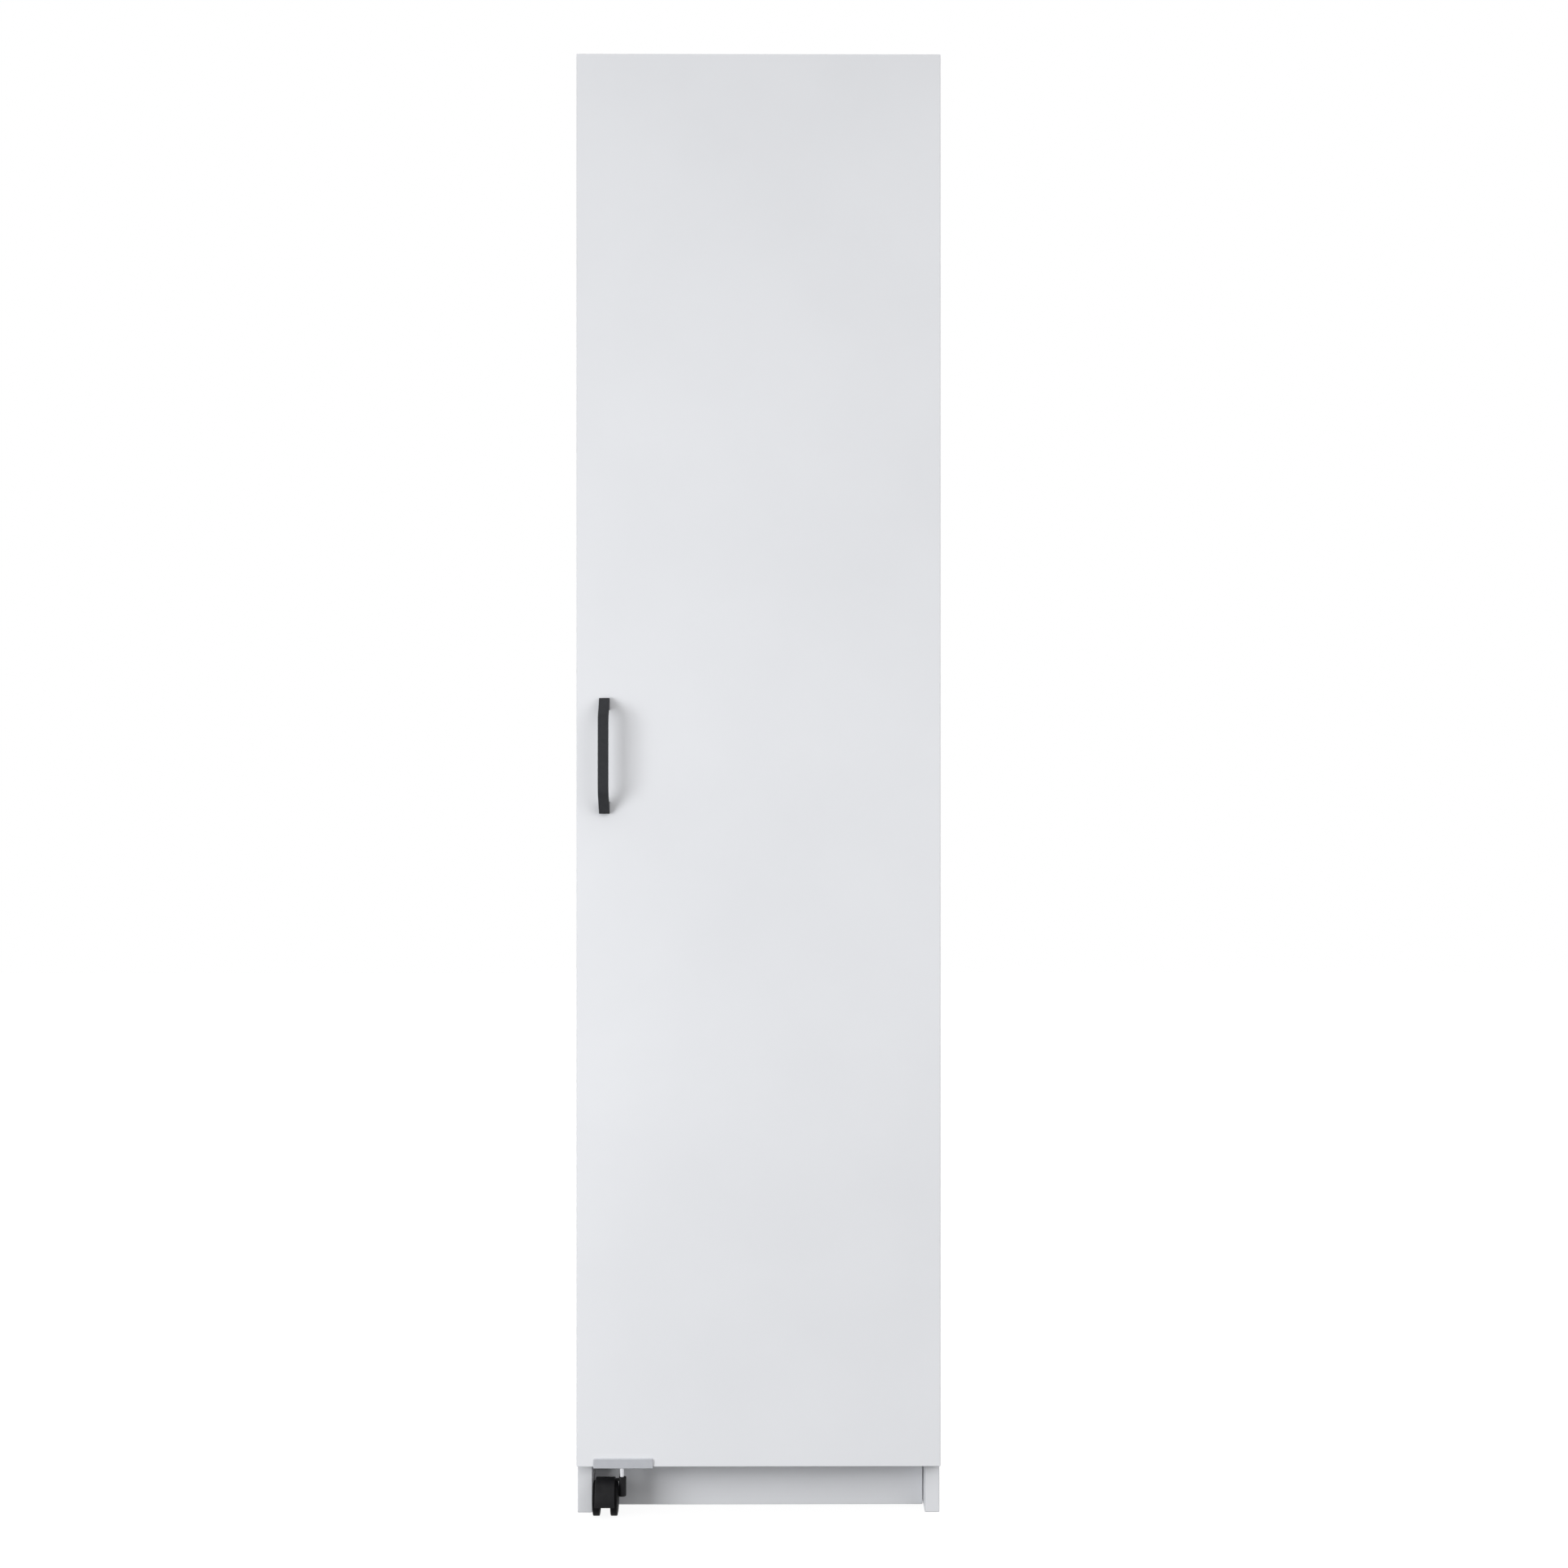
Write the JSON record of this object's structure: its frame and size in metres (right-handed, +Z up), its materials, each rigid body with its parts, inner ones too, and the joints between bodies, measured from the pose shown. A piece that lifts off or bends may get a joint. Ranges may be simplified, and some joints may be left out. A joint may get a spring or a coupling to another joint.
{
  "type": "broom cupboard",
  "caption": "Tall narrow broom cupboard with one full-height hinged door, a bow handle, a castor under the door's free corner and a door rack.",
  "frame": {"origin": "on the floor, at the middle of the cupboard's outer box", "axes": "+X to the hinge side, which is the right seen from the front; +Y to the back, so the front faces -Y; +Z up"},
  "size_m": [0.45, 0.4018, 1.8352],
  "materials": {
    "white_board": "white melamine facing, fine satin texture",
    "back_sheet": "thin white lacquered fibreboard, matt",
    "handle_black": "black powder coat, satin",
    "castor_black": "black moulded nylon, satin",
    "shoe_grey": "pale grey coat on folded steel",
    "bright_zinc": "zinc plated, bright",
    "hinge_nickel": "nickel plated, satin",
    "strip_white": "white extruded plastic",
    "hook_black": "black coat on bent steel strip"
  },
  "bodies": {
    "carcass": {"left_side": "white_board", "right_side": "white_board", "top_panel": "white_board", "bottom_panel": "white_board", "plinth": "white_board", "fixed_shelf": "white_board", "upper_shelf": "white_board", "back_lower": "back_sheet", "back_upper": "back_sheet", "back_joint_strip": "strip_white", "shelf_pin_left_front": "bright_zinc", "shelf_pin_left_rear": "bright_zinc", "shelf_pin_right_front": "bright_zinc", "shelf_pin_right_rear": "bright_zinc", "hook_rail": "white_board", "broom_hook_1": "hook_black", "broom_hook_2": "hook_black", "broom_hook_3": "hook_black", "wall_bracket": "bright_zinc", "hinge_arm_1": "hinge_nickel", "hinge_arm_2": "hinge_nickel", "hinge_arm_3": "hinge_nickel", "hinge_arm_4": "hinge_nickel", "hinge_plate_1": "hinge_nickel", "hinge_plate_2": "hinge_nickel", "hinge_plate_3": "hinge_nickel", "hinge_plate_4": "hinge_nickel"},
    "door": {"door_panel": "white_board", "handle": "handle_black", "handle_screw_1": "bright_zinc", "handle_screw_2": "bright_zinc", "hinge_cup_1": "hinge_nickel", "hinge_cup_2": "hinge_nickel", "hinge_cup_3": "hinge_nickel", "hinge_cup_4": "hinge_nickel", "hinge_pin_1": "bright_zinc", "hinge_pin_2": "bright_zinc", "hinge_pin_3": "bright_zinc", "hinge_pin_4": "bright_zinc", "rack_left_upright": "white_board", "rack_right_upright": "white_board", "rack_tray_1": "white_board", "rack_tray_2": "white_board", "rack_tray_3": "white_board", "rack_rail_1": "white_board", "rack_rail_2": "white_board", "rack_rail_3": "white_board", "rack_angle_left_low": "bright_zinc", "rack_angle_left_high": "bright_zinc", "rack_angle_right_low": "bright_zinc", "rack_angle_right_high": "bright_zinc", "castor_shoe": "shoe_grey", "castor_shoe_screw_1": "bright_zinc", "castor_shoe_screw_2": "bright_zinc", "castor_stem": "bright_zinc", "castor_housing": "castor_black", "castor_axle": "bright_zinc"},
    "left_wheel": {"castor_wheel_left": "castor_black"},
    "right_wheel": {"castor_wheel_right": "castor_black"}
  },
  "joints": [
    {"name": "door_swing", "type": "hinge", "parent": "carcass", "child": "door", "pos_m": [0.2186, -0.1616, 0.93565], "axis": [0, 0, 1], "range_deg": [0, 95]},
    {"name": "left_wheel_spin", "type": "hinge", "parent": "door", "child": "left_wheel", "pos_m": [-0.1896, -0.1619, 0.0215], "axis": [1, 0, 0], "continuous": true},
    {"name": "right_wheel_spin", "type": "hinge", "parent": "door", "child": "right_wheel", "pos_m": [-0.1896, -0.1619, 0.0215], "axis": [1, 0, 0], "continuous": true}
  ]
}
